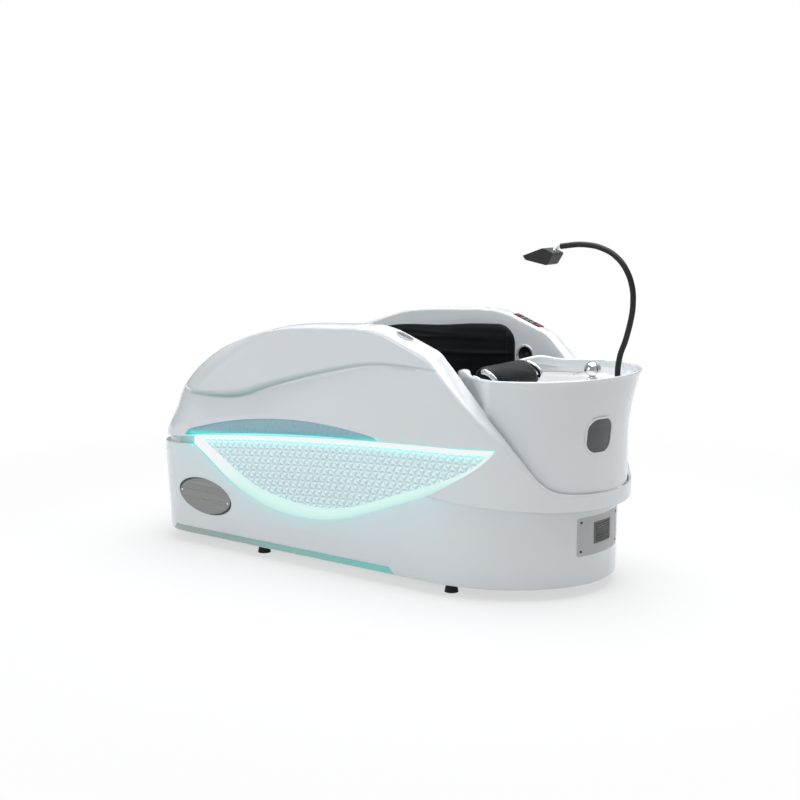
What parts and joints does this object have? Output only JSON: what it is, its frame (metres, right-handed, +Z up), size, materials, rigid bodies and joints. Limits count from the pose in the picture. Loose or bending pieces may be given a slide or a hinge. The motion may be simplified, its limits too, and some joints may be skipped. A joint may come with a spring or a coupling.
{
  "type": "hair washing bed",
  "caption": "Moulded salon hair washing bed: cradle shell with lit faceted sides, leather couch, tilting neck rest, washing basin, mixer tap and gooseneck water arm with a tilting nozzle.",
  "frame": {"origin": "on the floor, under the middle of the whole box", "axes": "+X along the bed towards the basin end, +Y to the side with the console and speaker, +Z up"},
  "size_m": [2.123, 0.925, 1.3274],
  "materials": {
    "gelcoat": "high gloss white",
    "bowl_white": "high gloss white",
    "facets": "frosted, lit from its edge",
    "light": "lit diffuser",
    "recess_grey": "gloss",
    "strip_silver": "brushed",
    "plate_silver": "brushed",
    "panel_grey": "satin",
    "window_slate": "gloss slate",
    "leather_black": "soft sheen",
    "chrome": "polished",
    "hose_black": "matt",
    "nozzle_black": "satin",
    "console_black": "gloss",
    "button_red": "lit",
    "key_grey": "satin",
    "speaker_silver": "satin",
    "speaker_black": "matt",
    "switch_mauve": "gloss",
    "frame_steel": "powder coated",
    "foot_rubber": "matt",
    "plywood": "bare",
    "pipe_white": "matt",
    "unit_steel": "folded sheet",
    "screw_steel": "bright"
  },
  "bodies": {
    "bed": {"arm_socket": "chrome", "back_board": "plywood", "back_cushion": "leather_black", "base_frame": "frame_steel", "base_shell": "gelcoat", "basin_bowl": "bowl_white", "basin_housing": "gelcoat", "basin_window": "window_slate", "console_panel": "console_black", "drain_flange": "chrome", "equipment_tray": "frame_steel", "facet_panel_far": "facets", "facet_panel_near": "facets", "levelling_feet": "foot_rubber", "light_band_far": "light", "light_band_near": "light", "mixer_body": "chrome", "neck_rest_bracket": "chrome", "oval_plate": "plate_silver", "oval_plate_screws": "screw_steel", "oval_switch_bezel": "speaker_silver", "oval_switch_lens": "switch_mauve", "power_supply": "unit_steel", "recess_panel_far": "recess_grey", "recess_panel_near": "recess_grey", "seat_board": "plywood", "seat_cushion": "leather_black", "service_grille": "panel_grey", "service_panel": "panel_grey", "service_panel_screws": "screw_steel", "side_lining_far": "leather_black", "side_lining_near": "leather_black", "skirting_strip_far": "strip_silver", "skirting_strip_near": "strip_silver", "speaker_cone": "speaker_black", "speaker_ring": "speaker_silver", "speaker_screws": "screw_steel", "upper_shell": "gelcoat", "waste_pipe": "pipe_white", "water_pump": "unit_steel", "window_bezel": "gelcoat"},
    "water_arm": {"gooseneck_arm": "hose_black", "arm_ferrule": "chrome", "nozzle_joint": "chrome"},
    "nozzle": {"nozzle_head": "nozzle_black", "nozzle_face": "hose_black"},
    "mixer_swivel": {"mixer_ball": "chrome"},
    "mixer_lever": {"mixer_handle": "chrome"},
    "neck_rest": {"neck_cushion": "leather_black", "neck_rest_rods": "chrome"},
    "plug": {"drain_plug": "chrome"},
    "red_button_1": {"red_button_1": "button_red"},
    "red_button_2": {"red_button_2": "button_red"},
    "console_key_1": {"console_key_1": "key_grey"},
    "console_key_2": {"console_key_2": "key_grey"},
    "console_key_3": {"console_key_3": "key_grey"},
    "console_key_4": {"console_key_4": "key_grey"},
    "console_key_5": {"console_key_5": "key_grey"},
    "console_key_6": {"console_key_6": "key_grey"}
  },
  "joints": [
    {"name": "water_arm_swivel", "type": "hinge", "parent": "bed", "child": "water_arm", "pos_m": [0.9925, 0, 0.8006], "axis": [0, 0, 1], "range_deg": [-90, 90]},
    {"name": "nozzle_tilt", "type": "hinge", "parent": "water_arm", "child": "nozzle", "pos_m": [0.70751, 0, 1.28881], "axis": [0, 1, 0], "range_deg": [-20, 30]},
    {"name": "mixer_turn", "type": "hinge", "parent": "bed", "child": "mixer_swivel", "pos_m": [0.8855, 0, 0.8483], "axis": [0, 0, 1], "range_deg": [-45, 45]},
    {"name": "mixer_lift", "type": "hinge", "parent": "mixer_swivel", "child": "mixer_lever", "pos_m": [0.8855, 0, 0.8483], "axis": [0, 1, 0], "range_deg": [0, 22]},
    {"name": "neck_rest_tilt", "type": "hinge", "parent": "bed", "child": "neck_rest", "pos_m": [0.438, 0, 0.795], "axis": [0, -1, 0], "range_deg": [0, 70]},
    {"name": "plug_lift", "type": "slide", "parent": "bed", "child": "plug", "axis": [0, 0, 1], "range_m": [0, 0.008]},
    {"name": "red_button_1_press", "type": "slide", "parent": "bed", "child": "red_button_1", "axis": [-0.3447, 0, -0.9387], "range_m": [0, 0.0015], "stiffness_N_per_m": 400},
    {"name": "red_button_2_press", "type": "slide", "parent": "bed", "child": "red_button_2", "axis": [-0.3447, 0, -0.9387], "range_m": [0, 0.0015], "stiffness_N_per_m": 400},
    {"name": "console_key_1_press", "type": "slide", "parent": "bed", "child": "console_key_1", "axis": [-0.3447, 0, -0.9387], "range_m": [0, 0.0015], "stiffness_N_per_m": 400},
    {"name": "console_key_2_press", "type": "slide", "parent": "bed", "child": "console_key_2", "axis": [-0.3447, 0, -0.9387], "range_m": [0, 0.0015], "stiffness_N_per_m": 400},
    {"name": "console_key_3_press", "type": "slide", "parent": "bed", "child": "console_key_3", "axis": [-0.3447, 0, -0.9387], "range_m": [0, 0.0015], "stiffness_N_per_m": 400},
    {"name": "console_key_4_press", "type": "slide", "parent": "bed", "child": "console_key_4", "axis": [-0.3447, 0, -0.9387], "range_m": [0, 0.0015], "stiffness_N_per_m": 400},
    {"name": "console_key_5_press", "type": "slide", "parent": "bed", "child": "console_key_5", "axis": [-0.3447, 0, -0.9387], "range_m": [0, 0.0015], "stiffness_N_per_m": 400},
    {"name": "console_key_6_press", "type": "slide", "parent": "bed", "child": "console_key_6", "axis": [-0.3447, 0, -0.9387], "range_m": [0, 0.0015], "stiffness_N_per_m": 400}
  ]
}
